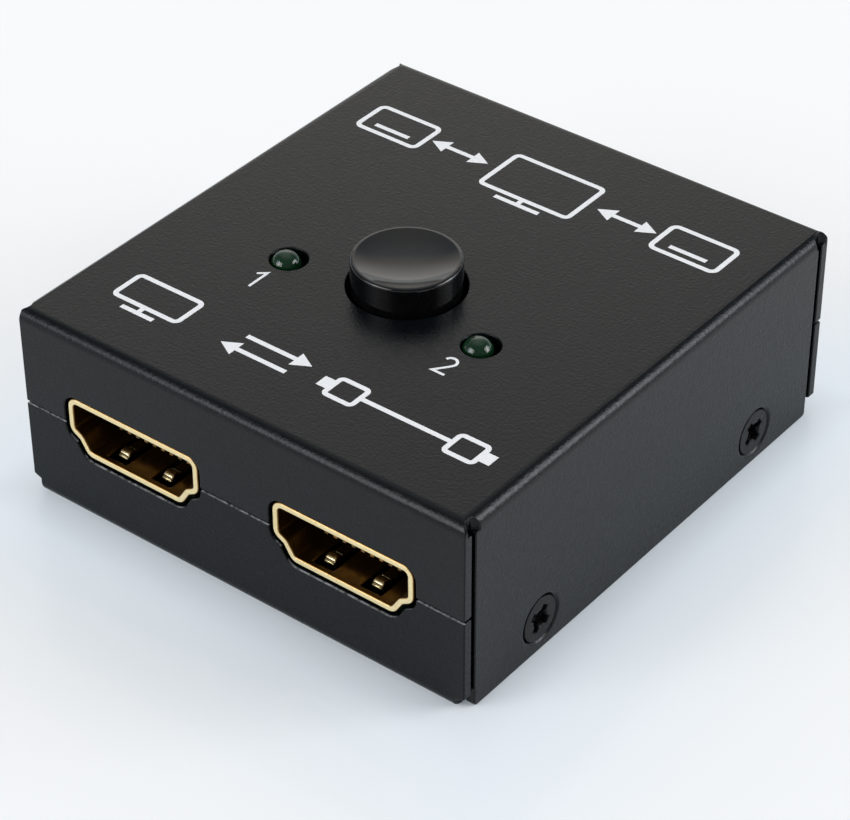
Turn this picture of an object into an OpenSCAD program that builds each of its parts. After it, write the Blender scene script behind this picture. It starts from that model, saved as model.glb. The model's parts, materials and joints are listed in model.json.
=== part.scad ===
// Two-way video switch box: a bent steel case with two sockets in front, one behind,
// a latching push button and two lamps on top.
// Frame: origin at the middle of the resting face, +Z up, front face towards -Y, sizes in millimetres.

/* [Case] */
// Width of the case across its side walls
case_w = 50; // [49:0.1:60]
// Depth of the case from front face to rear face
case_d = 54.4; // [53.5:0.1:64]
// Height of the case
case_h = 20.2; // [19.6:0.1:26]
// Thickness of the steel sheet
sheet_t = 1; // [0.8:0.05:1.2]
// Inside radius of the bends
bend_inner_r = 0.25; // [0.1:0.05:0.5]
// Height of the seam between the cover and the base
seam_z = 10.1; // [9.5:0.1:10.7]
// Width of the seam
seam_gap = 0.25; // [0.1:0.05:0.5]
// Gap between the front skirt and the side walls
skirt_gap = 0.35; // [0.1:0.05:0.5]
// Gap between the rear skirt and the side walls
rear_gap = 0.65; // [0.1:0.05:0.8]
// How far the skirts and flanges end short of the left side wall's outer face
left_inset = 0.4; // [0.05:0.05:0.5]
// How far the skirts and flanges end short of the right side wall's outer face
right_inset = 0.1; // [0.05:0.05:0.5]
// Radius of the round corner reliefs
relief_r = 0.75; // [0.5:0.05:1]
// Radius of the side walls' lower corners
wall_corner_r = 0.4; // [0.2:0.05:2]
// Height of the side walls' lower edges above the resting face
wall_foot = 0.05; // [0.05:0.05:0.4]
// Gap between the cover's side walls and the base's side flanges
side_fit = 0.2; // [0.1:0.05:0.4]

/* [Sockets] */
// Distance of each front socket's middle from the side wall's outer face
port_edge = 13.15; // [12.5:0.05:15]
// Height of the sockets' middle above the resting face
port_z = 10.08; // [9.6:0.02:11]
// Inside width of a socket
port_w = 14; // [13:0.05:15]
// Inside height of a socket
port_h = 4.55; // [4.2:0.05:5]
// Inside width of a socket's narrow lower side
port_foot_w = 10.4; // [9.4:0.1:11]
// Thickness of a socket's metal shell
port_wall = 0.35; // [0.25:0.05:0.5]
// Width of the front rim round a socket's opening
rim_w = 0.65; // [0.5:0.05:1]
// Depth of the front rim
rim_t = 0.6; // [0.4:0.05:0.8]
// How far the rim lies behind the face of the case
port_recess = 0.1; // [0:0.05:0.4]
// Length of a socket's shell
port_len = 11; // [10:0.1:12]
// Gap between the rim and the cut-out in the case
cutout_clear = 0.3; // [0.2:0.05:0.5]
// How far the cut-outs sit below the sockets' middle
cutout_drop = 0.15; // [0:0.05:0.2]
// Width of the contact tongue
tongue_w = 10.5; // [10:0.1:11]
// Thickness of the contact tongue
tongue_t = 1.3; // [1:0.05:1.5]
// How far the tongue's tip lies behind the rim
tongue_back = 2.9; // [1:0.05:3.2]
// Distance between neighbouring contacts of one row
contact_pitch = 1; // [0.9:0.02:1]

/* [Button] */
// Diameter of the button cap
button_d = 10.15; // [8:0.05:12]
// Height of the cap's rim above the case at rest
button_proud = 2.85; // [2.3:0.05:4]
// Height of the button cap
button_h = 4.55; // [4:0.05:5]
// Gap between the cap and its hole in the cover
button_clear = 0.42; // [0.2:0.02:0.6]
// Distance of the button in front of the case's middle
button_fore = 3.2; // [2.6:0.1:5]
// Travel of the button
button_travel = 2; // [1:0.1:2.2]
// Depth of the dish in the cap
dish_depth = 0.95; // [0.3:0.05:1.2]
// Width of the switch housing
switch_w = 8.5; // [8:0.1:10]

/* [Lamps] */
// Diameter of a lamp's lens
lamp_d = 2.9; // [2.8:0.1:4]
// Gap between a lens and its hole in the cover
lamp_clear = 0.35; // [0.3:0.05:0.6]
// Height of a lens's tip above the case
lamp_proud = 0.7; // [0.2:0.1:1.5]
// Distance of each lamp from the middle of the case
lamp_x = 10.83; // [10:0.05:14]
// Distance of the lamps in front of the case's middle
lamp_fore = 6.6; // [4:0.1:8]

/* [Fasteners] */
// Thread diameter of the screws
screw_d = 2.5; // [2:0.1:2.6]
// Head diameter of the countersunk case screws
head_d = 4.5; // [4.2:0.1:5]
// Length of the screws
screw_len = 5; // [4:0.1:5.5]
// Distance of the case screws from the front and rear faces
screw_edge = 10.65; // [9:0.05:12]
// Height of the case screws above the resting face
screw_z = 3.4; // [3.1:0.1:3.6]
// Diameter of the standoffs under the board
standoff_d = 4.2; // [3.8:0.1:5]

/* [Board] */
// Thickness of the circuit board
board_t = 1.6; // [1.2:0.1:1.8]
// Gap between the board and the base's side flanges
board_gap = 0.4; // [0.2:0.1:1]
// Gap between the board and the front and rear flanges
board_end_gap = 0.5; // [0.3:0.1:1]
// Gap between the switching chip's leads and its neighbours
chip_gap = 1; // [0.5:0.1:2]

/* [Hidden] */
$fn = 48;

// Overshoot of cutting tools, and the clearance of pieces that sit in each other
over = 1;
fit = 0.03;

// Case
bend_r = bend_inner_r + sheet_t;
front_y = -case_d / 2;
skirt_z = seam_z + seam_gap / 2;
flange_z = seam_z - seam_gap / 2;
wall_front = front_y + sheet_t + skirt_gap;
wall_rear = front_y + sheet_t + rear_gap;
relief_below = 0.1;
relief_depth = bend_r + relief_below;
base_half = case_w / 2 - sheet_t - side_fit;
flange_left = left_inset - case_w / 2;
flange_right = case_w / 2 - right_inset;
flange_relief_left = 1.65;
flange_relief_right = 1.2;
flange_relief_slope = 0.38;
side_flange_over = 3.2;
side_flange_z = screw_z + side_flange_over;
side_flange_end = 3.5;
floor_relief = 1.2;

// Screws, whose heads are 90 degree cones with a straight edge, and the collars they are driven into
screw_y = case_d / 2 - screw_edge;
thread_r = screw_d / 2 + fit;
head_h = (head_d - screw_d) / 2;
head_sink = 0.3;
head_edge = 0.22;
sink_r = head_d / 2 + head_sink + fit;
recess_w = 0.75;
recess_len = 2.7;
recess_depth = 0.8;
recess_turn = 35;
collar_wall = 0.8;
collar_r = thread_r + collar_wall;
collar_len = 1;
pan_head_d = 1.75 * screw_d;
pan_head_h = 0.6 * screw_d;

// Sockets: outline about the middle of the opening, and what lies inside
shoulder_z = -0.4;
step_in = 0.95;
step_down = 0.53;
least_inner_r = 0.25;
outline_steps = 5;
block_y = 8;
block_short = 0.1;
block_end = port_len - block_short;
tongue_z = -0.075;
contact_w = 0.36;
contact_t = 0.12;
contact_nose = 0.3 * tongue_t;
tail_gap = 0.15;
tail_len = 1.05;
upper_contacts = 10;
lower_contacts = upper_contacts - 1;
finger_x = 2.6;
finger_w = 1.15;
finger_tip = 1.34;
finger_end = 6.2;
window_w = 2.2;
dimple_r = 0.75;
dimple_h = 0.38;
leg_w = 1.6;
leg_y = [2.4, 8.6];
leg_slack = 0.25;
solder_drop = 0.8;
port_x = case_w / 2 - port_edge;
PORTS = [[-port_x, 0], [port_x, 0], [0, 180]];

// Board
board_top = port_z - port_h / 2 - port_wall;
board_bottom = board_top - board_t;
board_half_w = base_half - sheet_t - board_gap;
board_half_d = case_d / 2 - sheet_t - board_end_gap;
standoff_edge = 3.4;
standoff_x = board_half_w - standoff_edge;
standoff_shift = 5;
STANDOFF_Y = [standoff_shift - screw_y, standoff_shift + screw_y];
standoff_foot_wall = 0.4;
standoff_foot_r = thread_r + standoff_foot_wall;

// Button and latching switch, stacked down from the cap
button_y = -button_fore;
cap_top = case_h + button_proud;
cap_bottom = cap_top - button_h;
cap_edge_r = 0.3;
cap_wall = 1;
cap_roof = 0.8;
dish_edge = 0.4;
dish_r = button_d / 2 - dish_edge;
dish_sphere_r = (dish_r * dish_r + dish_depth * dish_depth) / (2 * dish_depth);
stem_w = 3.3;
stem_top = cap_top - dish_depth - cap_roof;
boss_wall = 0.6;
boss_r = stem_w / 2 * sqrt(2) + boss_wall;
press_clear = 0.4;
frame_t = 0.3;
frame_clear = 0.3;
frame_hole = stem_w + 2 * frame_clear;
frame_leg_w = 3;
frame_leg_lift = 1.2;
frame_leg_z = board_top + frame_leg_lift;
housing_top = cap_bottom - button_travel - press_clear - frame_t;
housing_floor_t = 1;
housing_floor = board_top + housing_floor_t;
slide_clear = 0.15;
side_wall_x = 1.1;
side_wall_y = 1.6;
plunger_x = switch_w / 2 - side_wall_x - slide_clear;
plunger_y = switch_w / 2 - side_wall_y - slide_clear;
plunger_h = 3.6;
plunger_top = housing_top - slide_clear;
plunger_bottom = plunger_top - plunger_h;
pocket_r = 1.5;
pocket_depth = 2.1;
pocket_top = plunger_bottom + pocket_depth;
spring_wire = 0.3;
spring_r = 1.1;
spring_turns = 7;
bridge_lift = 0.7;
bridge_z = plunger_bottom + bridge_lift;
bridge_h = 1.2;
bridge_half = 1.8;
bridge_t = 0.3;
bridge_sink = 0.2;
terminal_pitch = 2.5;
terminal_w = 0.8;
terminal_t = 0.4;
terminal_sink = 0.1;
terminal_y = plunger_y + slide_clear + terminal_sink;
terminal_over = 0.8;
terminal_top = bridge_z + bridge_h + terminal_over;
wire_r = 0.25;
wire_sink = 0.13;
wire_x = switch_w / 2 - wire_sink - wire_r;
wire_lift = 0.95;
wire_pivot_z = housing_floor + wire_lift;
wire_tip_z = plunger_bottom + bridge_lift;
wire_swing = 7;
wire_shift = (wire_tip_z - wire_pivot_z) * sin(wire_swing);
groove_clear = 0.2;
groove_depth = 0.45;
groove_end_gap = 0.1;

// Lamps lean a little in their holes, as they stand on long leads
lamp_y = -lamp_fore;
lamp_lean = [-0.7 * lamp_clear, -0.35 * lamp_clear];
lens_top = case_h + lamp_proud;
lens_h = 5.3;
lens_bottom = lens_top - lens_h;
lens_flange_h = 1;
lens_flange_w = 0.4;
lens_flange_r = lamp_d / 2 + lens_flange_w;
lead_w = 0.5;
lead_pitch = 2.54;
lead_hole_r = 0.45;
post_x = 0.45;
post_top = 2.4;
cup_r = 0.6;
cup_h = 0.6;

// Small parts on the board, and the chip in the room between the switch and the rear socket's arrays
capacitor = [1.6, 0.8, 0.8];
resistor = [1.6, 0.8, 0.5];
array_part = [2.5, 1, 0.6];
array_pitch = 2.8;
array_gap = 0.4;
array_y = port_len + tail_gap + tail_len + array_gap;
chip_lead_out = 1;
chip_front = button_y + switch_w / 2 + frame_t;
chip_rear = -front_y - port_recess - array_y - array_part.y;
chip_y = (chip_front + chip_rear) / 2;
chip_w = chip_rear - chip_front - 2 * (chip_lead_out + chip_gap);
chip_h = 1;
chip_lift = 0.1;
leads_per_side = 12;
chip_lead_w = 0.25;
chip_lead_t = 0.15;
row_x = chip_w / 2 + chip_lead_out + chip_gap + capacitor.x / 2;
row_pitch = 2.6;
row_step = 2.5;

// A box between two corners
module box(lo, hi) {
    translate(lo) cube(hi - lo);
}

// Extrusions of a flat outline along X or Y, about the middle, and along +Y from the origin
module along_x(len) {
    rotate([90, 0, 90]) linear_extrude(len, center = true) children();
}

module along_y(len) {
    rotate([90, 0, 0]) linear_extrude(len, center = true) children();
}

module prism_y(len) {
    translate([0, len / 2, 0]) along_y(len) children();
}

// Copies on both sides, front and rear, or at the four corners
module left_and_right() {
    for (m = [0, 1]) mirror([m, 0, 0]) children();
}

module front_and_rear() {
    for (m = [0, 1]) mirror([0, m, 0]) children();
}

module four_corners() {
    left_and_right() front_and_rear() children();
}

// Outline of a folded pan, open below, with round upper edges
module pan_profile(w, h, r) {
    translate([-w / 2, 0]) square([w, h - r]);
    translate([-w / 2 + r, 0]) square([w - 2 * r, h]);
    for (s = [-1, 1]) {
        translate([s * (w / 2 - r), h - r]) circle(r);
    }
}

module pan(w, d, h, r) {
    intersection() {
        along_y(d) pan_profile(w, h, r);
        along_x(w) pan_profile(d, h, r);
    }
}

// Upright wall section of a folded tray, standing on its bend
module tray_profile(w, h) {
    translate([0, h]) mirror([0, 1]) difference() {
        pan_profile(w, h, bend_r);
        translate([0, -over]) pan_profile(w - 2 * sheet_t, h - sheet_t + over, bend_inner_r);
    }
}

// Outward normal of an edge of an anticlockwise outline
function edge_normal(a, b) = let(d = b - a) [d.y, -d.x] / norm(d);

// Outline with every edge moved outwards by g
function grown(p, g) = [for (i = [0 : len(p) - 1])
    let(n1 = edge_normal(p[(i + len(p) - 1) % len(p)], p[i]), n2 = edge_normal(p[i], p[(i + 1) % len(p)]))
    p[i] + g * (n1 + n2) / (1 + n1 * n2)];

// Points of the arc of radius r that rounds corner b between a and c
function corner_arc(a, b, c, r, n) =
    let(u = (a - b) / norm(a - b), v = (c - b) / norm(c - b), half = acos(u * v) / 2, turn = 180 - 2 * half)
    let(mid = b + (u + v) / norm(u + v) * r / sin(half))
    let(s = b + u * r / tan(half) - mid, e = b + v * r / tan(half) - mid)
    [for (k = [0 : n]) mid + (s * sin(turn * (1 - k / n)) + e * sin(turn * k / n)) / sin(turn)];

function rounded(p, radii, n) = [for (i = [0 : len(p) - 1])
    each corner_arc(p[(i + len(p) - 1) % len(p)], p[i], p[(i + 1) % len(p)], radii[i], n)];

// Outline of a socket, grown by g: full width above, stepped in and sloped below
function port_corners() = let(x = port_w / 2, z = port_h / 2, f = port_foot_w / 2) [
    [x, z], [-x, z], [-x, shoulder_z], [-x + step_in, shoulder_z - step_down], [-f, -z],
    [f, -z], [x - step_in, shoulder_z - step_down], [x, shoulder_z]];

function port_radii(g) = let(inner = max(0.9 - g, least_inner_r), outer = 0.45 + g) [
    outer, outer, outer, inner, outer, outer, inner, outer];

module port_outline(g) {
    polygon(rounded(grown(port_corners(), g), port_radii(g), outline_steps));
}

// Places a piece in a socket's frame: middle of the opening, +Y into the case from the rim
module at_port(p) {
    rotate([0, 0, PORTS[p][1]]) translate([PORTS[p][0], front_y + port_recess, port_z]) children();
}

module port_cutouts() {
    for (p = [0 : len(PORTS) - 1]) {
        at_port(p) translate([0, -port_recess - over, -cutout_drop])
            prism_y(sheet_t + 2 * over) port_outline(rim_w + cutout_clear);
    }
}

// Axes of the four case screws, +Z out of the case
module at_case_screws() {
    four_corners() translate([case_w / 2, screw_y, screw_z]) rotate([0, 90, 0]) children();
}

module at_standoffs() {
    for (y = STANDOFF_Y) {
        left_and_right() translate([standoff_x, y, 0]) children();
    }
}

// Cross recess cut from the top of a screw head
module cross_recess() {
    for (a = [recess_turn, recess_turn + 90]) {
        rotate(a) translate([0, 0, (over - recess_depth) / 2])
            cube([recess_len, recess_w, recess_depth + over], center = true);
    }
    translate([0, 0, -recess_depth]) cylinder(r1 = recess_w * 0.75, r2 = recess_w * 1.25, h = recess_depth);
}

module top_cover() {
    color([0.13, 0.13, 0.14])
    difference() {
        pan(case_w, case_d, case_h, bend_r);
        translate([0, 0, -over])
            pan(case_w - 2 * sheet_t, case_d - 2 * sheet_t, case_h - sheet_t + over, bend_inner_r);
        box([-case_w, -case_d, -over], [case_w, case_d, wall_foot]);
        front_and_rear() box([-case_w, front_y - over, -over], [case_w, wall_front, skirt_z]);
        left_and_right() {
            wall_end_cut(wall_front);
            mirror([0, 1, 0]) wall_end_cut(wall_rear);
        }
        front_and_rear() {
            box([-case_w, front_y - over, -over], [flange_left, wall_front, case_h + over]);
            box([flange_right, front_y - over, -over], [case_w, wall_front, case_h + over]);
        }
        port_cutouts();
        translate([0, button_y, case_h - 2 * sheet_t])
            cylinder(d = button_d + 2 * button_clear, h = 4 * sheet_t);
        left_and_right() translate([lamp_x, lamp_y, case_h - 2 * sheet_t])
            cylinder(d = lamp_d + 2 * lamp_clear, h = 4 * sheet_t);
        at_case_screws() countersink();
    }
}

// Cone that a screw's head sits in
module countersink() {
    translate([0, 0, -sink_r]) cylinder(r1 = 0, r2 = 2 * sink_r, h = 2 * sink_r);
}

// Ends the right side wall at wall_y, with a relief at its upper corner and its lower corner rounded
module wall_end_cut(wall_y) {
    y = wall_y + wall_corner_r;
    z = wall_foot + wall_corner_r;
    box([case_w / 2 - sheet_t - fit, front_y + sheet_t, -over], [case_w, wall_y, case_h - bend_r]);
    translate([case_w / 2, (front_y + sheet_t + wall_front) / 2, case_h - relief_depth])
        cylinder(r = relief_r, h = relief_depth + over);
    difference() {
        box([case_w / 2 - sheet_t - fit, wall_y - over, wall_foot - over], [case_w, y, z]);
        translate([0, y, z]) rotate([0, 90, 0]) cylinder(r = wall_corner_r, h = 2 * case_w);
    }
}

module base_plate() {
    color([0.12, 0.12, 0.13])
    difference() {
        union() {
            difference() {
                translate([(flange_left + flange_right) / 2, 0, 0])
                    along_x(flange_right - flange_left) tray_profile(case_d, flange_z);
                left_and_right() base_side_cuts();
                flange_relief(flange_relief_right);
                mirror([1, 0, 0]) flange_relief(flange_relief_left);
            }
            along_y(case_d - 2 * side_flange_end) tray_profile(2 * base_half, side_flange_z);
            at_case_screws() translate([0, 0, base_half - case_w / 2 - sheet_t - collar_len])
                cylinder(r = collar_r, h = collar_len + sheet_t / 2);
        }
        port_cutouts();
        at_case_screws() {
            translate([0, 0, -case_w / 4]) cylinder(r = thread_r, h = case_w / 4 + over);
            countersink();
        }
        at_standoffs() translate([0, 0, -over]) cylinder(r = standoff_foot_r + fit, h = sheet_t + 2 * over);
    }
}

// Leaves the front and rear flanges wide, and makes room for the side wall and side flange on the right
module base_side_cuts() {
    box([base_half, front_y + sheet_t, -over], [case_w, -front_y - sheet_t, case_h]);
    box([base_half - bend_r, front_y + side_flange_end - floor_relief, -over],
        [case_w, -front_y - side_flange_end + floor_relief, case_h]);
}

// Frees the front and rear flanges' right ends from the floor, from height z upwards at a slant
module flange_relief(z) {
    reach = sheet_t + side_fit + over;
    translate([base_half, case_d, 0]) rotate([90, 0, 0]) linear_extrude(2 * case_d)
        polygon([[0, -over], [reach, -over], [reach, z + flange_relief_slope * reach], [0, z]]);
}

module case_screws() {
    color([0.09, 0.09, 0.1])
    at_case_screws() translate([0, 0, -head_sink]) difference() {
        union() {
            rotate_extrude() polygon([[0, -head_h], [screw_d / 2, -head_h], [head_d / 2, 0],
                [head_d / 2, head_edge], [0, head_edge]]);
            translate([0, 0, -screw_len]) cylinder(d = screw_d, h = screw_len - head_h + fit);
        }
        translate([0, 0, head_edge]) cross_recess();
    }
}

module board_standoffs() {
    color([0.8, 0.7, 0.4])
    at_standoffs() difference() {
        union() {
            translate([0, 0, sheet_t]) cylinder(d = standoff_d, h = board_bottom - sheet_t);
            translate([0, 0, fit]) cylinder(r = standoff_foot_r, h = sheet_t);
        }
        translate([0, 0, board_top - screw_len - 2 * fit]) cylinder(r = thread_r, h = case_h);
    }
}

module board_screws() {
    color([0.75, 0.75, 0.77])
    at_standoffs() translate([0, 0, board_top]) difference() {
        union() {
            cylinder(d = pan_head_d, h = pan_head_h);
            translate([0, 0, -screw_len]) cylinder(d = screw_d, h = screw_len + fit);
        }
        translate([0, 0, pan_head_h]) cross_recess();
    }
}

module circuit_board() {
    color([0.05, 0.32, 0.16])
    difference() {
        box([-board_half_w, -board_half_d, board_bottom], [board_half_w, board_half_d, board_top]);
        at_standoffs() cylinder(r = thread_r + 0.2, h = case_h);
        for (p = [0 : len(PORTS) - 1]) {
            at_port(p) port_legs(leg_slack);
        }
        at_switch() for (x = [-1, 0, 1], s = [-1, 1]) {
            translate([x * terminal_pitch, s * (terminal_y + terminal_t / 2), 0])
                cylinder(r = norm([terminal_w, terminal_t]) / 2 + fit, h = housing_floor);
        }
        for (side = [-1, 1], s = [-1, 1]) {
            at_lamp(side) translate([s * lead_pitch / 2, 0, 0]) cylinder(r = lead_hole_r, h = lens_bottom);
        }
    }
}

// Solder legs of a socket's shell, or the slots for them when grown
module port_legs(grow) {
    left_and_right() for (y = leg_y) {
        box([port_w / 2 - grow, y - leg_w / 2 - grow, board_bottom - solder_drop - port_z - grow],
            [port_w / 2 + port_wall + grow, y + leg_w / 2 + grow, shoulder_z]);
    }
}

// One spring finger's place on the lower side of a shell
module at_fingers() {
    for (m = [0, 1]) {
        mirror([0, 0, m]) left_and_right() translate([finger_x, 0, -port_h / 2 - port_wall]) children();
    }
}

module port_shell(p) {
    color([0.85, 0.65, 0.25])
    at_port(p) union() {
        difference() {
            union() {
                prism_y(port_len) port_outline(port_wall);
                prism_y(rim_t) port_outline(rim_w);
                port_legs(0);
            }
            translate([0, -over, 0]) prism_y(port_len + 2 * over) port_outline(0);
            at_fingers()
                box([-window_w / 2, rim_t + fit, -over], [window_w / 2, finger_end, port_wall + fit]);
        }
        at_fingers() difference() {
            union() {
                box([-finger_w / 2, finger_tip, 0], [finger_w / 2, finger_end + fit, port_wall]);
                translate([-finger_w / 2, finger_tip + dimple_r, port_wall + dimple_h - dimple_r])
                    rotate([0, 90, 0]) cylinder(r = dimple_r, h = finger_w);
            }
            box([-window_w, 0, -over], [window_w, port_len, 0]);
        }
    }
}

// Height of the tongue's upper (s = 1) or lower (s = -1) face
function tongue_face(s) = tongue_z + s * tongue_t / 2;

// Calls its child once per contact, with the row's side in $row
module each_contact() {
    for (s = [-1, 1]) {
        n = s > 0 ? upper_contacts : lower_contacts;
        for (i = [0 : n - 1]) {
            $row = s;
            translate([(i - (n - 1) / 2) * contact_pitch, 0, tongue_face(s)]) children();
        }
    }
}

// Contact blade on the face of the tongue, or the slot for it when grown
module contact_blade(y0, y1, grow) {
    lo = $row > 0 ? -grow : -contact_t - grow;
    box([-contact_w / 2 - grow, y0, lo], [contact_w / 2 + grow, y1, lo + contact_t + 2 * grow]);
}

module port_insulator(p) {
    color([0.04, 0.04, 0.045])
    at_port(p) difference() {
        union() {
            translate([0, block_y, 0]) prism_y(block_end - block_y) port_outline(-fit);
            box([-tongue_w / 2, tongue_back, tongue_face(-1)],
                [tongue_w / 2, block_y + fit, tongue_face(1)]);
        }
        each_contact() contact_blade(block_y - fit, port_len + over, fit);
    }
}

module port_contacts(p) {
    color([0.9, 0.75, 0.4])
    at_port(p) each_contact() union() {
        w = contact_w / 2;
        tail_y = port_len + tail_gap;
        tail_z = board_top - port_z - tongue_face($row);
        nose = -$row * contact_nose;
        blade = $row * contact_t;
        contact_blade(tongue_back - contact_t, tail_y + fit, 0);
        box([-w, tongue_back - contact_t, min(nose, blade)], [w, tongue_back, max(nose, blade)]);
        box([-w, tail_y, tail_z], [w, tail_y + contact_t, max(0, blade)]);
        box([-w, tail_y, tail_z], [w, tail_y + tail_len, tail_z + contact_t]);
    }
}

// Frame of the push switch: on its axis, at the height of the resting face
module at_switch() {
    translate([0, button_y, 0]) children();
}

// Square post on the axis, from z0 to z1
module square_post(w, z0, z1) {
    box([-w / 2, -w / 2, z0], [w / 2, w / 2, z1]);
}

module button_cap() {
    color([0.02, 0.02, 0.022])
    at_switch() difference() {
        union() {
            difference() {
                union() {
                    translate([0, 0, cap_bottom]) cylinder(d = button_d, h = button_h - cap_edge_r);
                    translate([0, 0, cap_bottom]) cylinder(d = button_d - 2 * cap_edge_r, h = button_h);
                    translate([0, 0, cap_top - cap_edge_r])
                        rotate_extrude() translate([button_d / 2 - cap_edge_r, 0]) circle(cap_edge_r);
                }
                translate([0, 0, cap_bottom - over])
                    cylinder(d = button_d - 2 * cap_wall, h = button_h - dish_depth - cap_roof + over);
            }
            translate([0, 0, cap_bottom + cap_edge_r])
                cylinder(r = boss_r, h = button_h - dish_depth - cap_roof);
        }
        translate([0, 0, cap_top - dish_depth + dish_sphere_r]) sphere(dish_sphere_r);
        square_post(stem_w + 2 * fit, 0, stem_top + fit);
    }
}

module switch_plunger() {
    color([0.85, 0.85, 0.82])
    at_switch() difference() {
        union() {
            box([-plunger_x, -plunger_y, plunger_bottom], [plunger_x, plunger_y, plunger_top]);
            square_post(stem_w, plunger_bottom, stem_top);
        }
        translate([0, 0, plunger_bottom - over])
            cylinder(r = pocket_r, h = pocket_top - plunger_bottom + over);
        front_and_rear() box([-bridge_half - fit, plunger_y - bridge_sink, bridge_z - fit],
            [bridge_half + fit, plunger_y + over, bridge_z + bridge_h + fit]);
        latch_groove();
    }
}

// Sloped groove in the plunger's right face, which the latch wire's tip follows
module latch_groove() {
    r = wire_r + groove_clear;
    slope = atan(wire_shift / button_travel);
    translate([plunger_x - groove_depth, 0, wire_tip_z]) rotate([slope, 0, 0]) {
        box([0, -r, 0], [over, r, button_travel / cos(slope)]);
        for (z = [0, button_travel / cos(slope)]) {
            translate([0, 0, z]) rotate([0, 90, 0]) cylinder(r = r, h = over);
        }
    }
}

module switch_housing() {
    half = switch_w / 2;
    inner_x = plunger_x + slide_clear;
    inner_y = plunger_y + slide_clear;
    swing = wire_r + wire_shift + groove_clear;
    color([0.1, 0.1, 0.11])
    at_switch() difference() {
        box([-half, -half, board_top], [half, half, housing_top]);
        box([-inner_x, -inner_y, housing_floor], [inner_x, inner_y, housing_top + over]);
        for (x = [-1, 0, 1]) {
            front_and_rear() translate([x * terminal_pitch, 0, 0])
                box([-terminal_w / 2 - fit, inner_y - fit, board_top - over],
                    [terminal_w / 2 + fit, terminal_y + terminal_t + fit, terminal_top + fit]);
        }
        box([wire_x - wire_r - groove_clear, -swing, wire_pivot_z - wire_r - groove_clear],
            [half + over, swing, wire_tip_z + wire_r + groove_clear]);
        box([0, -swing, wire_tip_z - wire_r - groove_clear],
            [half + over, swing, wire_tip_z + wire_r + groove_clear]);
        translate([inner_x - fit, 0, wire_pivot_z]) rotate([0, 90, 0]) cylinder(r = wire_r + fit, h = half);
    }
}

module switch_frame() {
    half = switch_w / 2;
    rim = half + frame_t;
    w = frame_leg_w / 2;
    color([0.78, 0.78, 0.8])
    at_switch() difference() {
        union() {
            box([-half, -rim, housing_top], [rim, rim, housing_top + frame_t]);
            front_and_rear() box([-w, half, frame_leg_z], [w, rim, housing_top + fit]);
            box([half, -w, frame_leg_z], [rim, w, housing_top + fit]);
        }
        square_post(frame_hole, housing_top - over, housing_top + over);
    }
}

// Tube of radius r and six sides swept along a helix from z0 to z1
module coil(mean_r, r, z0, z1, turns) {
    sides = 6;
    rings = 10 * turns;
    points = [for (i = [0 : rings], k = [0 : sides - 1])
        let(a = 360 * turns * i / rings, b = 360 * k / sides, d = mean_r + r * cos(b))
        [d * cos(a), d * sin(a), z0 + r + (z1 - z0 - 2 * r) * i / rings + r * sin(b)]];
    walls = [for (i = [0 : rings - 1], k = [0 : sides - 1])
        let(n = (k + 1) % sides, p = i * sides, q = p + sides)
        each [[p + k, q + k, q + n], [p + k, q + n, p + n]]];
    ends = [for (k = [1 : sides - 2])
        let(p = rings * sides)
        each [[0, k, k + 1], [p, p + k + 1, p + k]]];
    polyhedron(points, concat(walls, ends));
}

module switch_spring() {
    color([0.7, 0.7, 0.72])
    at_switch() coil(spring_r, spring_wire / 2, housing_floor + fit, pocket_top - fit, spring_turns);
}

module switch_bridges() {
    color([0.85, 0.8, 0.7])
    at_switch() front_and_rear() {
        y = plunger_y - bridge_sink + fit;
        box([-bridge_half, y, bridge_z], [bridge_half, y + bridge_t, bridge_z + bridge_h]);
    }
}

module switch_terminals() {
    color([0.8, 0.8, 0.82])
    at_switch() for (x = [-1, 0, 1]) {
        front_and_rear() translate([x * terminal_pitch, 0, 0])
            box([-terminal_w / 2, terminal_y, board_bottom - solder_drop],
                [terminal_w / 2, terminal_y + terminal_t, terminal_top]);
    }
}

// Bent wire: turns on its lower leg, and its upper leg rides in the plunger's groove
module latch_wire() {
    tip_x = plunger_x - groove_depth + groove_end_gap;
    color([0.72, 0.72, 0.74])
    at_switch() union() {
        translate([wire_x, 0, wire_pivot_z]) cylinder(r = wire_r, h = wire_tip_z - wire_pivot_z);
        translate([plunger_x + slide_clear, 0, wire_pivot_z]) rotate([0, 90, 0])
            cylinder(r = wire_r, h = wire_x - plunger_x - slide_clear);
        translate([tip_x, 0, wire_tip_z]) rotate([0, 90, 0]) cylinder(r = wire_r, h = wire_x - tip_x);
        for (z = [wire_pivot_z, wire_tip_z]) {
            translate([wire_x, 0, z]) sphere(wire_r);
        }
    }
}

// Frame of the left (side = -1) or right lamp, on its axis at the height of the resting face
module at_lamp(side) {
    translate([side * lamp_x + lamp_lean.x, lamp_y + lamp_lean.y, 0]) children();
}

// One lead: leg from the board, step inwards and post, grown for the hollow in the lens
module lamp_lead(side, grow) {
    w = lead_w / 2 + grow;
    inner = post_x - lead_w / 2 - grow;
    step_z = lens_bottom + lens_flange_h / 2;
    mirror([side > 0 ? 0 : 1, 0, 0]) {
        box([lead_pitch / 2 - w, -w, board_bottom - solder_drop], [lead_pitch / 2 + w, w, step_z + grow]);
        box([inner, -w, step_z - lead_w - grow], [lead_pitch / 2 + w, w, step_z + grow]);
        box([inner, -w, step_z - lead_w - grow], [post_x + w, w, lens_bottom + post_top + grow]);
    }
}

// Reflector cup on the left post
module lamp_cup(grow) {
    translate([0, 0, lens_bottom + post_top - grow]) cylinder(r = cup_r + grow, h = cup_h + 2 * grow);
}

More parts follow.
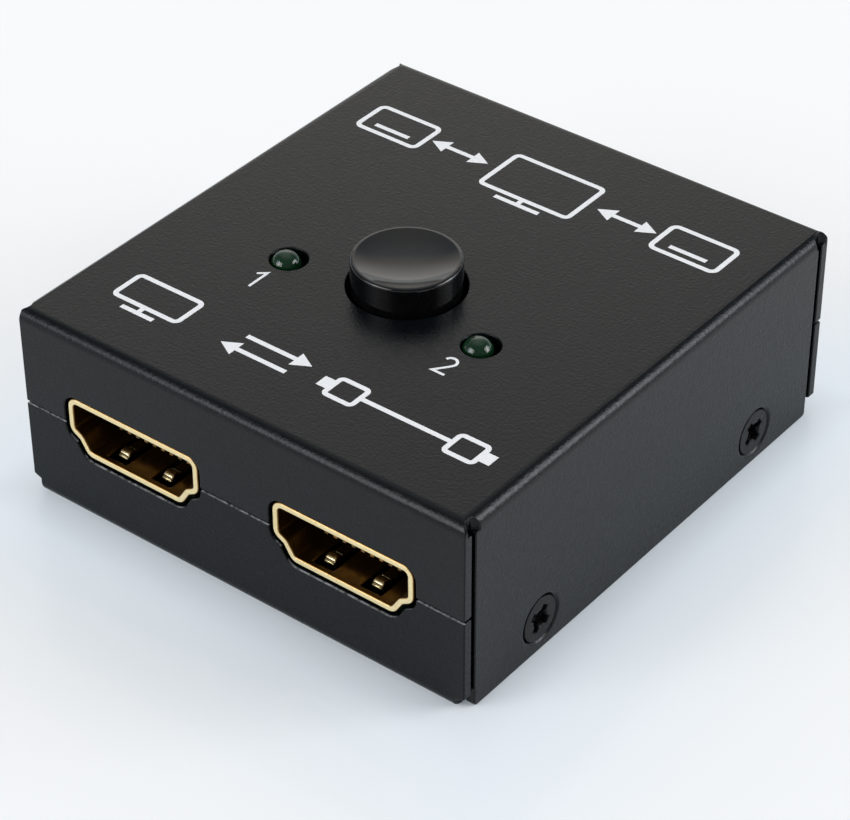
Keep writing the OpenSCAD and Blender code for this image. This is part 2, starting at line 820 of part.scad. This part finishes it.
module lamp_lens(side) {
    color([0.05, 0.3, 0.12])
    at_lamp(side) difference() {
        union() {
            translate([0, 0, lens_bottom]) cylinder(r = lens_flange_r, h = lens_flange_h);
            translate([0, 0, lens_bottom]) cylinder(d = lamp_d, h = lens_h - lamp_d / 2);
            translate([0, 0, lens_top - lamp_d / 2]) sphere(d = lamp_d);
        }
        for (s = [-1, 1]) {
            lamp_lead(s, fit);
        }
        lamp_cup(fit);
    }
}

module lamp_leads(side) {
    color([0.75, 0.75, 0.77])
    at_lamp(side) {
        difference() {
            union() {
                lamp_lead(-1, 0);
                lamp_cup(0);
            }
            translate([0, 0, lens_bottom + post_top + cup_h / 3])
                cylinder(r1 = cup_r / 3, r2 = cup_r, h = cup_h);
            box([fit, -lead_w, 0], [lead_pitch, lead_w, lens_bottom + post_top]);
        }
        difference() {
            lamp_lead(1, 0);
            box([0, -lead_w, lens_bottom + post_top - fit], [lead_pitch, lead_w, lens_top]);
        }
    }
}

module at_chip() {
    translate([0, chip_y, board_top]) children();
}

module switching_chip() {
    half = chip_w / 2;
    color([0.06, 0.06, 0.065])
    at_chip() box([-half, -half, chip_lift], [half, half, chip_lift + chip_h]);
}

module chip_leads() {
    half = chip_w / 2;
    pitch = chip_w / (leads_per_side + 1);
    knee = chip_lift + chip_h / 2;
    color([0.75, 0.75, 0.76])
    at_chip() for (a = [0 : 90 : 270], i = [0 : leads_per_side - 1]) {
        rotate(a) translate([(i - (leads_per_side - 1) / 2) * pitch, half, 0]) union() {
            w = chip_lead_w / 2;
            box([-w, 0, knee], [w, chip_lead_out / 2, knee + chip_lead_t]);
            box([-w, chip_lead_out / 2 - chip_lead_t, 0], [w, chip_lead_out / 2, knee + chip_lead_t]);
            box([-w, chip_lead_out / 2 - chip_lead_t, 0], [w, chip_lead_out, chip_lead_t]);
        }
    }
}

// Small parts stand in rows beside the chip, each row a number of steps from its middle
module part_row(step, count, size) {
    for (i = [0 : count - 1]) {
        translate([row_x + i * row_pitch, chip_y + step * row_step, board_top + size.z / 2])
            cube(size, center = true);
    }
}

module capacitors() {
    color([0.55, 0.42, 0.28])
    left_and_right() {
        part_row(-1.5, 3, capacitor);
        part_row(1.5, 3, capacitor);
    }
}

module resistors() {
    color([0.07, 0.07, 0.08])
    left_and_right() {
        part_row(-0.5, 4, resistor);
        part_row(0.5, 4, resistor);
    }
}

module protection_arrays() {
    color([0.09, 0.09, 0.1])
    for (p = [0 : len(PORTS) - 1], i = [-1, 0, 1]) {
        at_port(p) translate([i * array_pitch - array_part.x / 2, array_y, board_top - port_z])
            cube(array_part);
    }
}

top_cover();
base_plate();
case_screws();
board_standoffs();
board_screws();
circuit_board();
port_shell(0);  // port_1_shell
port_insulator(0);  // port_1_insulator
port_contacts(0);  // port_1_contacts
port_shell(1);  // port_2_shell
port_insulator(1);  // port_2_insulator
port_contacts(1);  // port_2_contacts
port_shell(2);  // port_3_shell
port_insulator(2);  // port_3_insulator
port_contacts(2);  // port_3_contacts
button_cap();
switch_plunger();
switch_housing();
switch_frame();
switch_spring();
switch_bridges();
switch_terminals();
latch_wire();
lamp_lens(-1);  // lamp_1_lens
lamp_leads(-1);  // lamp_1_leads
lamp_lens(1);  // lamp_2_lens
lamp_leads(1);  // lamp_2_leads
switching_chip();
chip_leads();
capacitors();
resistors();
protection_arrays();
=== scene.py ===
"""Looks of the two-way video switch box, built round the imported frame."""
import json
import math

import bmesh
import bpy
from mathutils import Matrix, Vector


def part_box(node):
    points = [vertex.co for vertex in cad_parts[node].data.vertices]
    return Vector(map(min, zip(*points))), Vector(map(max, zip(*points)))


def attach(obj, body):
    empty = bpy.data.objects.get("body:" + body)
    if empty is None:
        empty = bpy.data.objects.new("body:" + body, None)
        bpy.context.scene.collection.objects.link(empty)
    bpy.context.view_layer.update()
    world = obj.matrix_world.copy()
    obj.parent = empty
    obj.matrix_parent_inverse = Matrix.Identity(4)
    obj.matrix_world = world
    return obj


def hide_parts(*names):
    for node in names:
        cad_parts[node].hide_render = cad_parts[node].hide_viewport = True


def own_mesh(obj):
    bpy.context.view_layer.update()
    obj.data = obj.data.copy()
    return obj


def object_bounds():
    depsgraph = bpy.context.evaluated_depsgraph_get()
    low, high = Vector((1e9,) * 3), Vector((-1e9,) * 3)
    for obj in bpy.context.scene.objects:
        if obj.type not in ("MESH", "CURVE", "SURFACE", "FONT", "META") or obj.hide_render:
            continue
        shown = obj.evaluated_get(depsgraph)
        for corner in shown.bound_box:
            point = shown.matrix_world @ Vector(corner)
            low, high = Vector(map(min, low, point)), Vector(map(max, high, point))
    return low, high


MM = 0.001

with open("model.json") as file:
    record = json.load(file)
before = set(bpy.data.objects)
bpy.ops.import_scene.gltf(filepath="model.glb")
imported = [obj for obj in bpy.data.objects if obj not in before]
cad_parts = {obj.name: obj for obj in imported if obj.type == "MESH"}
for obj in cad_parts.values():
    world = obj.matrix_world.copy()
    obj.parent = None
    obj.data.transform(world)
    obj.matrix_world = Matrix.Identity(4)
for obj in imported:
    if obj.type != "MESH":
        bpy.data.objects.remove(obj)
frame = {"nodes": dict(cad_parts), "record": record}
cad_low, cad_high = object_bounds()
nodes = frame["nodes"]
scene = bpy.context.scene
scene.view_settings.view_transform = "Standard"


# Materials

class Look:
    """A node material on object coordinates, which are the part's own metres."""

    def __init__(self, name, **sockets):
        self.material = bpy.data.materials.new(name)
        self.material.use_nodes = True
        self.tree = self.material.node_tree
        self.shader = self.tree.nodes["Principled BSDF"]
        source = self.tree.nodes.new("ShaderNodeTexCoord")
        self.coords, self.normal = source.outputs["Object"], source.outputs["Normal"]
        for socket, value in sockets.items():
            self.shader.inputs[socket.replace("_", " ")].default_value = value

    def node(self, kind, **sockets):
        made = self.tree.nodes.new(kind)
        for socket, value in sockets.items():
            self.plug(value, made.inputs[socket.replace("_", " ")])
        return made

    def plug(self, value, socket):
        if isinstance(value, bpy.types.NodeSocket):
            self.tree.links.new(value, socket)
        else:
            socket.default_value = value

    def noise(self, size_mm, detail):
        scale = 1 / (size_mm * MM)
        return self.node("ShaderNodeTexNoise", Vector=self.coords, Scale=scale, Detail=detail).outputs["Fac"]

    def ramp(self, value, *stops):
        made = self.node("ShaderNodeValToRGB", Fac=value)
        elements = made.color_ramp.elements
        while len(elements) < len(stops):
            elements.new(0.5)
        for element, (place, colour) in zip(elements, stops):
            element.position = place
            element.color = (*colour, 1) if isinstance(colour, tuple) else (colour, colour, colour, 1)
        return made.outputs["Color"]

    def math(self, operation, *values):
        made = self.node("ShaderNodeMath")
        made.operation = operation
        for value, socket in zip(values, made.inputs):
            self.plug(value, socket)
        return made.outputs[0]

    def span(self, value, low, high, start=0.0):
        """Runs from start at low to 1 at high."""
        made = self.node("ShaderNodeMapRange", Value=value, From_Min=low, From_Max=high, To_Min=start)
        return made.outputs["Result"]

    def axes(self, vector):
        return self.node("ShaderNodeSeparateXYZ", Vector=vector).outputs

    def mix(self, share, first, second):
        return self.node("ShaderNodeMixRGB", Fac=share, Color1=first, Color2=second).outputs["Color"]

    def colour(self, value):
        self.plug(value, self.shader.inputs["Base Color"])

    def rough(self, value):
        self.plug(value, self.shader.inputs["Roughness"])

    def bump(self, height, depth_mm, strength):
        made = self.node("ShaderNodeBump", Height=height, Strength=strength, Distance=depth_mm * MM)
        before = self.shader.inputs["Normal"].links
        if before:
            self.tree.links.new(before[0].from_socket, made.inputs["Normal"])
        self.tree.links.new(made.outputs["Normal"], self.shader.inputs["Normal"])

    def pale(self, share, tint):
        """Shows a share of a pale tint to the camera, in gloss and through glass, and lights nothing else."""
        path = self.node("ShaderNodeLightPath")
        seen = path.outputs["Is Camera Ray"]
        for kind in ("Is Glossy Ray", "Is Transmission Ray"):
            seen = self.math("MAXIMUM", seen, path.outputs[kind])
        glow = self.node("ShaderNodeEmission", Color=tint, Strength=1.0)
        both = self.node("ShaderNodeMixShader", Fac=self.math("MULTIPLY", seen, share))
        self.tree.links.new(self.shader.outputs["BSDF"], both.inputs[1])
        self.tree.links.new(glow.outputs["Emission"], both.inputs[2])
        self.tree.links.new(both.outputs["Shader"], self.tree.nodes["Material Output"].inputs["Surface"])


def powder_coat(name, gloss):
    """Black, with a painted highlight: pale grey on the up-facing upper cut edges of the base at the front
    and rear, along the seam.
    """
    edge_width = 0.22 * MM
    seam_top = 10.1 * MM
    look = Look(name, IOR=1.3, Specular_IOR_Level=gloss)
    coat = look.ramp(look.noise(1.4, 4), (0.3, (0.0015, 0.0024, 0.0032)), (0.7, (0.0024, 0.0036, 0.0046)))
    # Painted highlight: a pale grey on the seam's up-facing cut edges, where light would catch them
    painted_seam_highlight = look.ramp(look.noise(0.5, 2), (0.35, (0.05, 0.052, 0.055)), (0.65, (0.4, 0.41, 0.42)))
    place = look.axes(look.coords)
    outer = look.math("GREATER_THAN", look.math("ABSOLUTE", place["Y"]), cad_high.y - edge_width)
    below = look.math("LESS_THAN", place["Z"], seam_top)
    up = look.span(look.axes(look.normal)["Z"], 0.6, 0.95)
    seam_highlight_mask = look.math("MULTIPLY", look.math("MULTIPLY", outer, below), up)
    look.colour(look.mix(seam_highlight_mask, coat, painted_seam_highlight))
    look.rough(look.ramp(look.noise(0.6, 3), (0.3, 0.24), (0.7, 0.33)))
    look.bump(look.noise(0.32, 2), depth_mm=0.037, strength=0.75)
    look.bump(look.noise(0.16, 1), depth_mm=0.01, strength=0.4)
    return look.material


def gold_plate():
    """Pale gold where the metal faces out of the socket, and painted shade, a dark brown gold, on the rim's
    shoulders and the walls inside.
    """
    rim_depth = 0.6 * MM
    finger_lift = 0.55
    look = Look("gold_plate", Metallic=1.0)
    out = look.math("ABSOLUTE", look.axes(look.normal)["Y"])
    depth = look.math("ABSOLUTE", look.axes(look.coords)["Y"])
    # The spring fingers lean, so inside the socket a smaller turn outwards is enough to keep them out of the
    # painted shade
    inside = look.math("LESS_THAN", depth, cad_high.y - rim_depth)
    facing = look.span(look.math("MULTIPLY_ADD", inside, finger_lift, out), 0.75, 0.99)
    grain = look.noise(0.7, 3)
    pale = look.ramp(grain, (0.3, (0.93, 0.75, 0.4)), (0.7, (0.98, 0.82, 0.48)))
    # Painted shade: a dark brown gold where the metal faces into the socket
    painted_shade_gold = look.ramp(grain, (0.3, (0.22, 0.11, 0.024)), (0.7, (0.3, 0.155, 0.036)))
    look.colour(look.mix(facing, painted_shade_gold, pale))
    look.rough(look.ramp(facing, (0.0, 0.32), (1.0, 0.23)))
    look.bump(grain, depth_mm=0.0005, strength=0.5)
    return look.material


def plain(name, low, high, rough, grain_mm, bump_mm, **sockets):
    """One finish with a fine grain between two close colours, and patches of more and less gloss."""
    patch = 2.3
    look = Look(name, **sockets)
    grain = look.noise(grain_mm, 3)
    look.colour(look.ramp(grain, (0.3, low), (0.7, high)))
    look.rough(look.ramp(look.noise(grain_mm * patch, 2), (0.3, rough[0]), (0.7, rough[1])))
    look.bump(grain, bump_mm, strength=0.5)
    return look.material


FINISHES = {
    "black_screw": dict(
        low=(0.003, 0.003, 0.0032), high=(0.006, 0.006, 0.0064),
        rough=(0.25, 0.4), grain_mm=0.3, bump_mm=0.01, IOR=1.24),
    "contact_metal": dict(
        low=(0.36, 0.29, 0.19), high=(0.48, 0.4, 0.26),
        rough=(0.3, 0.4), grain_mm=0.2, bump_mm=0.003, Metallic=1.0),
    "socket_plastic": dict(
        low=(0.006, 0.006, 0.007), high=(0.012, 0.012, 0.013),
        rough=(0.4, 0.55), grain_mm=0.25, bump_mm=0.006),
    "button_plastic": dict(
        low=(0.002, 0.002, 0.0022), high=(0.004, 0.004, 0.0043),
        rough=(0.08, 0.12), grain_mm=0.9, bump_mm=0.0005, IOR=1.46),
    "lens_green": dict(
        low=(0.03, 0.2, 0.07), high=(0.045, 0.27, 0.09),
        rough=(0.03, 0.06), grain_mm=1.5, bump_mm=0.0001, Transmission_Weight=0.9, IOR=1.5),
    "board_green": dict(
        low=(0.004, 0.02, 0.01), high=(0.006, 0.03, 0.015),
        rough=(0.3, 0.4), grain_mm=0.8, bump_mm=0.01),
    "standoff_brass": dict(
        low=(0.6, 0.42, 0.16), high=(0.72, 0.53, 0.24),
        rough=(0.2, 0.32), grain_mm=0.3, bump_mm=0.006, Metallic=1.0),
    "steel": dict(
        low=(0.5, 0.5, 0.52), high=(0.65, 0.65, 0.67),
        rough=(0.25, 0.38), grain_mm=0.3, bump_mm=0.006, Metallic=1.0),
    "tinned": dict(
        low=(0.6, 0.6, 0.61), high=(0.74, 0.74, 0.75),
        rough=(0.2, 0.34), grain_mm=0.4, bump_mm=0.006, Metallic=1.0),
    "switch_black": dict(
        low=(0.03, 0.03, 0.033), high=(0.045, 0.045, 0.05),
        rough=(0.45, 0.6), grain_mm=0.3, bump_mm=0.01),
    "switch_white": dict(
        low=(0.7, 0.7, 0.66), high=(0.8, 0.8, 0.76),
        rough=(0.4, 0.5), grain_mm=0.4, bump_mm=0.006),
    "chip_black": dict(
        low=(0.02, 0.02, 0.022), high=(0.034, 0.034, 0.036),
        rough=(0.5, 0.65), grain_mm=0.12, bump_mm=0.01),
    "capacitor_tan": dict(
        low=(0.36, 0.25, 0.15), high=(0.47, 0.34, 0.22),
        rough=(0.45, 0.6), grain_mm=0.2, bump_mm=0.006),
    "white_print": dict(
        low=(0.84, 0.84, 0.85), high=(0.9, 0.9, 0.91),
        rough=(0.4, 0.5), grain_mm=0.3, bump_mm=0.004),
}
looks = {name: plain(name, **finish) for name, finish in FINISHES.items()}
looks["powder_coat"] = powder_coat("powder_coat", gloss=0.5)
looks["gold_plate"] = gold_plate()
for part in frame["record"]["subparts"]:
    materials = nodes[part["node"]].data.materials
    materials.clear()
    materials.append(looks[part["material_slot"]])
# The base's coat is a little duller than the cover's
nodes["base_plate"].data.materials[0] = powder_coat("powder_coat_base", gloss=0.4)


# Painted and plated sheet has soft edges

def soften(name, width_mm, segments, join_mm=0.001):
    piece = nodes[name]
    weld = piece.modifiers.new("weld", "WELD")
    weld.merge_threshold = join_mm * MM
    flat = piece.modifiers.new("flat", "DECIMATE")
    flat.decimate_type = "DISSOLVE"
    flat.angle_limit = math.radians(0.5)
    edge = piece.modifiers.new("edge", "BEVEL")
    edge.width = width_mm * MM
    edge.segments = segments
    edge.limit_method = "ANGLE"
    edge.angle_limit = math.radians(40)
    edge.use_clamp_overlap = False
    edge.loop_slide = False
    shading = piece.modifiers.new("shading", "WEIGHTED_NORMAL")
    shading.keep_sharp = False


soften("top_cover", width_mm=0.14, segments=3)
soften("base_plate", width_mm=0.14, segments=3, join_mm=0.03)
soften("case_screws", width_mm=0.1, segments=2)
for port in (1, 2, 3):
    soften(f"port_{port}_shell", width_mm=0.17, segments=3)


# The return spring: its own copy of the switch spring's mesh, carried by the case

def return_spring():
    piece = bpy.data.objects.new("return_spring", nodes["switch_spring"].data.copy())
    scene.collection.objects.link(piece)
    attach(piece, "case")
    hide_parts("switch_spring")
    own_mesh(piece)


return_spring()


# White print on the top: plain digits and generic pictograms, in millimetres

class Ink:
    """Flat print that lies on the cover's top face."""

    SUNK, RAISED = -0.02, 0.015
    LEAST_MITRE = 0.4

    def __init__(self):
        self.mesh = bmesh.new()

    def fill(self, points):
        self.mesh.faces.new([self.mesh.verts.new((x, y, 0)) for x, y in points])

    def line(self, points, width, closed=False):
        count = len(points)
        rails = []
        for i, point in enumerate(points):
            here = Vector(point)
            into = here - Vector(points[i - 1]) if i or closed else None
            out = Vector(points[(i + 1) % count]) - here if i < count - 1 or closed else None
            into, out = (into or out).normalized(), (out or into).normalized()
            across = Vector((-into.y - out.y, into.x + out.x)).normalized()
            across *= width / 2 / max(across.dot(Vector((-out.y, out.x))), self.LEAST_MITRE)
            rails.append([self.mesh.verts.new((*(here + across * side), 0)) for side in (1, -1)])
        for a, b in zip(rails, rails[1:] + rails[:1] if closed else rails[1:]):
            self.mesh.faces.new((a[0], a[1], b[1], b[0]))

    def done(self, name, body):
        skin = bmesh.ops.extrude_face_region(self.mesh, geom=self.mesh.faces[:])
        raised = [v for v in skin["geom"] if isinstance(v, bmesh.types.BMVert)]
        for vert in self.mesh.verts:
            vert.co.z = self.SUNK
        for vert in raised:
            vert.co.z = self.RAISED
        bmesh.ops.recalc_face_normals(self.mesh, faces=self.mesh.faces)
        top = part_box("top_cover")[1][2]
        seat = Matrix.Translation((0, 0, top)) @ Matrix.Scale(MM, 4)
        bmesh.ops.transform(self.mesh, verts=self.mesh.verts, matrix=seat)
        mesh = bpy.data.meshes.new(name)
        self.mesh.to_mesh(mesh)
        self.mesh.free()
        mesh.materials.append(looks["white_print"])
        piece = bpy.data.objects.new(name, mesh)
        scene.collection.objects.link(piece)
        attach(piece, body)


def arc(x, y, radius, start_deg, end_deg, steps):
    turns = [math.radians(start_deg + (end_deg - start_deg) * i / steps) for i in range(steps + 1)]
    return [(x + radius * math.cos(t), y + radius * math.sin(t)) for t in turns]


def rounded_box(x, y, wide, high, radius):
    in_x, in_y = wide / 2 - radius, high / 2 - radius
    corners = ((1, 1, 0), (-1, 1, 90), (-1, -1, 180), (1, -1, 270))
    return [point for side_x, side_y, turn in corners
            for point in arc(x + side_x * in_x, y + side_y * in_y, radius, turn, turn + 90, steps=6)]


def digits():
    stroke = 0.27
    one = Ink()
    one.line([(-11.62, -10.1), (-10.86, -9.48), (-10.86, -12.06)], stroke)
    one.done("digit_1", "case")
    two = Ink()
    bow = arc(10.25, -10.13, 0.6, 165, -20, 14)
    two.line([*bow, (10.55, -10.75), (9.62, -11.93), (10.95, -11.93)], stroke)
    two.done("digit_2", "case")


def pictograms():
    stroke = 0.5
    rear_y, front_y = 17.0, -18.9
    signs = Ink()

    def arrow(x, y, way):
        tip, tail, half = 1.1, 0.7, 1.0
        signs.fill([(x + way * tip, y), (x - way * tail, y + half * way), (x - way * tail, y - half * way)])

    def screen(x, y, wide, high):
        stand, corner = 1.0, 0.5
        foot = wide * 0.25
        low = y - high / 2
        signs.line(rounded_box(x, y, wide, high, corner), stroke, closed=True)
        signs.line([(x, low - stroke / 2), (x, low - stand + stroke / 2)], stroke)
        signs.line([(x - foot, low - stand), (x + foot, low - stand)], stroke)

    # Rear row: a screen between two boxes, with an arrow pointing both ways on each side
    box_x = 17
    screen(0, rear_y, 10, 6)
    for side in (-1, 1):
        signs.line([(side * 8.1, rear_y), (side * 11.1, rear_y)], stroke)
        arrow(side * 7.4, rear_y, -side)
        arrow(side * 11.8, rear_y, side)
        signs.line(rounded_box(side * box_x, rear_y, 7, 4.2, 0.6), stroke, closed=True)
        signs.line([(side * box_x - 2, rear_y - 1), (side * box_x + 2, rear_y - 1)], stroke)

    # Front row: a screen, a pair of opposed arrows, and a lead with a plug at each end
    arrows_x, lead_x = -3.0, 12.3
    screen(-15.9, front_y + 0.5, 7.4, 3.6)
    for way in (-1, 1):
        y = front_y + way
        signs.line([(arrows_x - way * 3.0, y), (arrows_x + way * 2.5, y)], stroke)
        arrow(arrows_x + way * 3.2, y, way)
    signs.line([(lead_x - 4.65, front_y), (lead_x + 4.65, front_y)], stroke)
    for side in (-1, 1):
        signs.line(rounded_box(lead_x + side * 6.4, front_y, 3.0, 2.6, 0.4), stroke, closed=True)
        signs.line([(lead_x + side * 8.15, front_y), (lead_x + side * 9.2, front_y)], width=1.4)
    signs.done("printed_signs", "case")


digits()
pictograms()


# Stage: pale glossy floor, world and lamps

def floor_material():
    """Pale all over, with painted shade: the pale glow weakens towards the case's near corner, and within a
    few millimetres of the case it weakens further and turns cooler, a painted bluish shadow.
    """
    near_corner, far = (0.02, -0.026, 0), 0.12
    shade_reach, painted_cool_shade_reach = 0.004, 0.022
    look = Look("floor", IOR=1.36)
    look.colour(look.ramp(look.noise(90, 2), (0.3, (0.88, 0.905, 0.925)), (0.7, (0.9, 0.925, 0.945))))
    look.rough(look.ramp(look.noise(60, 2), (0.3, 0.08), (0.7, 0.12)))
    reach = look.node("ShaderNodeVectorMath", Vector=look.coords)
    reach.operation = "DISTANCE"
    reach.inputs[1].default_value = near_corner
    away = look.span(reach.outputs["Value"], 0, far)
    # Painted shade: the pale glow is weaker towards the case's near corner
    painted_falloff_share = look.ramp(away, (0.1, 0.38), (0.17, 0.43), (0.3, 0.5), (0.6, 0.6), (1.0, 0.72))
    place = look.axes(look.coords)
    beside = [look.math("SUBTRACT", look.math("ABSOLUTE", place[axis]), edge)
              for axis, edge in zip("XY", cad_high)]
    gap = look.math("MAXIMUM", *beside)
    # Painted shade: less pale glow close to the case lets the lamps' shadow show, and the cooler tint paints
    # it bluish
    clear = look.span(gap, 0, shade_reach, start=0.45)
    tint = look.ramp(look.span(gap, 0, painted_cool_shade_reach), (0.0, (0.85, 0.96, 1.06)), (1.0, (1.0, 1.0, 1.0)))
    look.pale(look.math("MULTIPLY", painted_falloff_share, clear), tint)
    return look.material


def floor():
    """A flat round floor whose far edge curves up into a low backdrop."""
    inner, flat, curve, rise = 0.1, 1.6, 0.5, math.radians(75)
    curve_steps, round_steps = 12, 96
    drop = 0.02 * MM
    sweep = bmesh.new()
    profile = [sweep.verts.new((x, 0, 0)) for x in (0, inner, flat)]
    for step in range(1, curve_steps + 1):
        turn = rise * step / curve_steps
        profile.append(sweep.verts.new((flat + curve * math.sin(turn), 0, curve * (1 - math.cos(turn)))))
    edges = [sweep.edges.new(pair) for pair in zip(profile, profile[1:])]
    bmesh.ops.spin(
        sweep, geom=profile + edges, axis=(0, 0, 1), cent=(0, 0, 0), angle=math.tau, steps=round_steps)
    bmesh.ops.remove_doubles(sweep, verts=sweep.verts, dist=1e-5)
    bmesh.ops.recalc_face_normals(sweep, faces=sweep.faces)
    for face in sweep.faces:
        face.smooth = True
    mesh = bpy.data.meshes.new("floor")
    sweep.to_mesh(mesh)
    sweep.free()
    mesh.materials.append(floor_material())
    piece = bpy.data.objects.new("floor", mesh)
    piece.location.z = -drop
    scene.collection.objects.link(piece)


def studio():
    """A dim world with four soft glows."""
    world = bpy.data.worlds.new("studio")
    scene.world = world
    world.use_nodes = True
    sky = world.node_tree
    way = sky.nodes.new("ShaderNodeTexCoord").outputs["Generated"]

    def glow(direction, *stops):
        """A glow round one direction. Each stop is the cosine of the angle from it, a level and a tint."""
        near = sky.nodes.new("ShaderNodeVectorMath")
        near.operation = "DOT_PRODUCT"
        near.inputs[1].default_value = Vector(direction).normalized()
        sky.links.new(way, near.inputs[0])
        shade = sky.nodes.new("ShaderNodeValToRGB")
        sky.links.new(near.outputs["Value"], shade.inputs["Fac"])
        elements = shade.color_ramp.elements
        while len(elements) < len(stops):
            elements.new(0.5)
        for element, (place, level, tint) in zip(elements, stops):
            element.position = place
            element.color = (*(level * part for part in tint), 1)
        light = sky.nodes.new("ShaderNodeBackground")
        sky.links.new(shade.outputs["Color"], light.inputs["Color"])
        return light.outputs["Background"]

    cool, warm = (0.91, 1.0, 1.1), (1.04, 1.0, 0.96)
    behind_left = glow(
        (-0.588, 0.747, 0.309), (0.0, 0.2, cool), (0.7, 0.28, cool), (0.85, 0.48, cool),
        (0.93, 0.9, warm), (0.966, 1.27, warm), (1.0, 1.45, warm))
    overhead = glow(
        (-0.212, 0.269, 0.94), (0.8, 0.0, warm), (0.93, 0.3, warm), (1.0, 0.45, warm))
    front_left = glow(
        (-0.503, -0.745, 0.438), (0.927, 0.0, cool), (0.966, 1.3, cool), (0.99, 3.4, cool), (1.0, 4.0, cool))
    behind_right = glow(
        (0.698, 0.629, 0.342), (0.927, 0.0, cool), (0.966, 1.8, cool), (0.99, 4.7, cool), (1.0, 5.5, cool))
    light = behind_left
    for more in (overhead, front_left, behind_right):
        both = sky.nodes.new("ShaderNodeAddShader")
        sky.links.new(light, both.inputs[0])
        sky.links.new(more, both.inputs[1])
        light = both.outputs["Shader"]
    sky.links.new(light, sky.nodes["World Output"].inputs["Surface"])


def softbox(name, place, size, power):
    aim = Vector((0, 0, 0.01))
    light = bpy.data.lights.new(name, "AREA")
    light.shape = "RECTANGLE"
    light.size, light.size_y = size
    light.energy = power
    light.color = (1.03, 1.0, 0.97)
    lamp = bpy.data.objects.new(name, light)
    scene.collection.objects.link(lamp)
    lamp.location = place
    lamp.rotation_euler = (aim - Vector(place)).to_track_quat("-Z", "Y").to_euler()


floor()
studio()
softbox("front_softbox", place=(-0.131, -0.489, 0.322), size=(0.34, 0.30), power=1.32)
softbox("right_softbox", place=(0.463, 0.267, 0.272), size=(0.34, 0.32), power=1.4)


# Camera at the photograph's viewing angle

PHOTO_WIDTH = 850
FOCAL_PIXELS = 3025.72
AZIMUTH, ELEVATION, ROLL = 38.2183, 37.071, -0.2146
AIM = (0.006809, -0.009332, 0.013006)
DISTANCE = 0.265464

camera = bpy.data.cameras.new("camera")
camera.sensor_width = 36
camera.lens = camera.sensor_width * FOCAL_PIXELS / PHOTO_WIDTH
camera.clip_start, camera.clip_end = 0.01, 20
viewer = bpy.data.objects.new("camera", camera)
scene.collection.objects.link(viewer)
turn = Matrix.Rotation(math.radians(AZIMUTH), 4, "Z")
tilt = Matrix.Rotation(math.radians(90 - ELEVATION), 4, "X")
lean = Matrix.Rotation(math.radians(ROLL), 4, "Z")
viewer.matrix_world = Matrix.Translation(AIM) @ turn @ tilt @ lean @ Matrix.Translation((0, 0, DISTANCE))
scene.camera = viewer
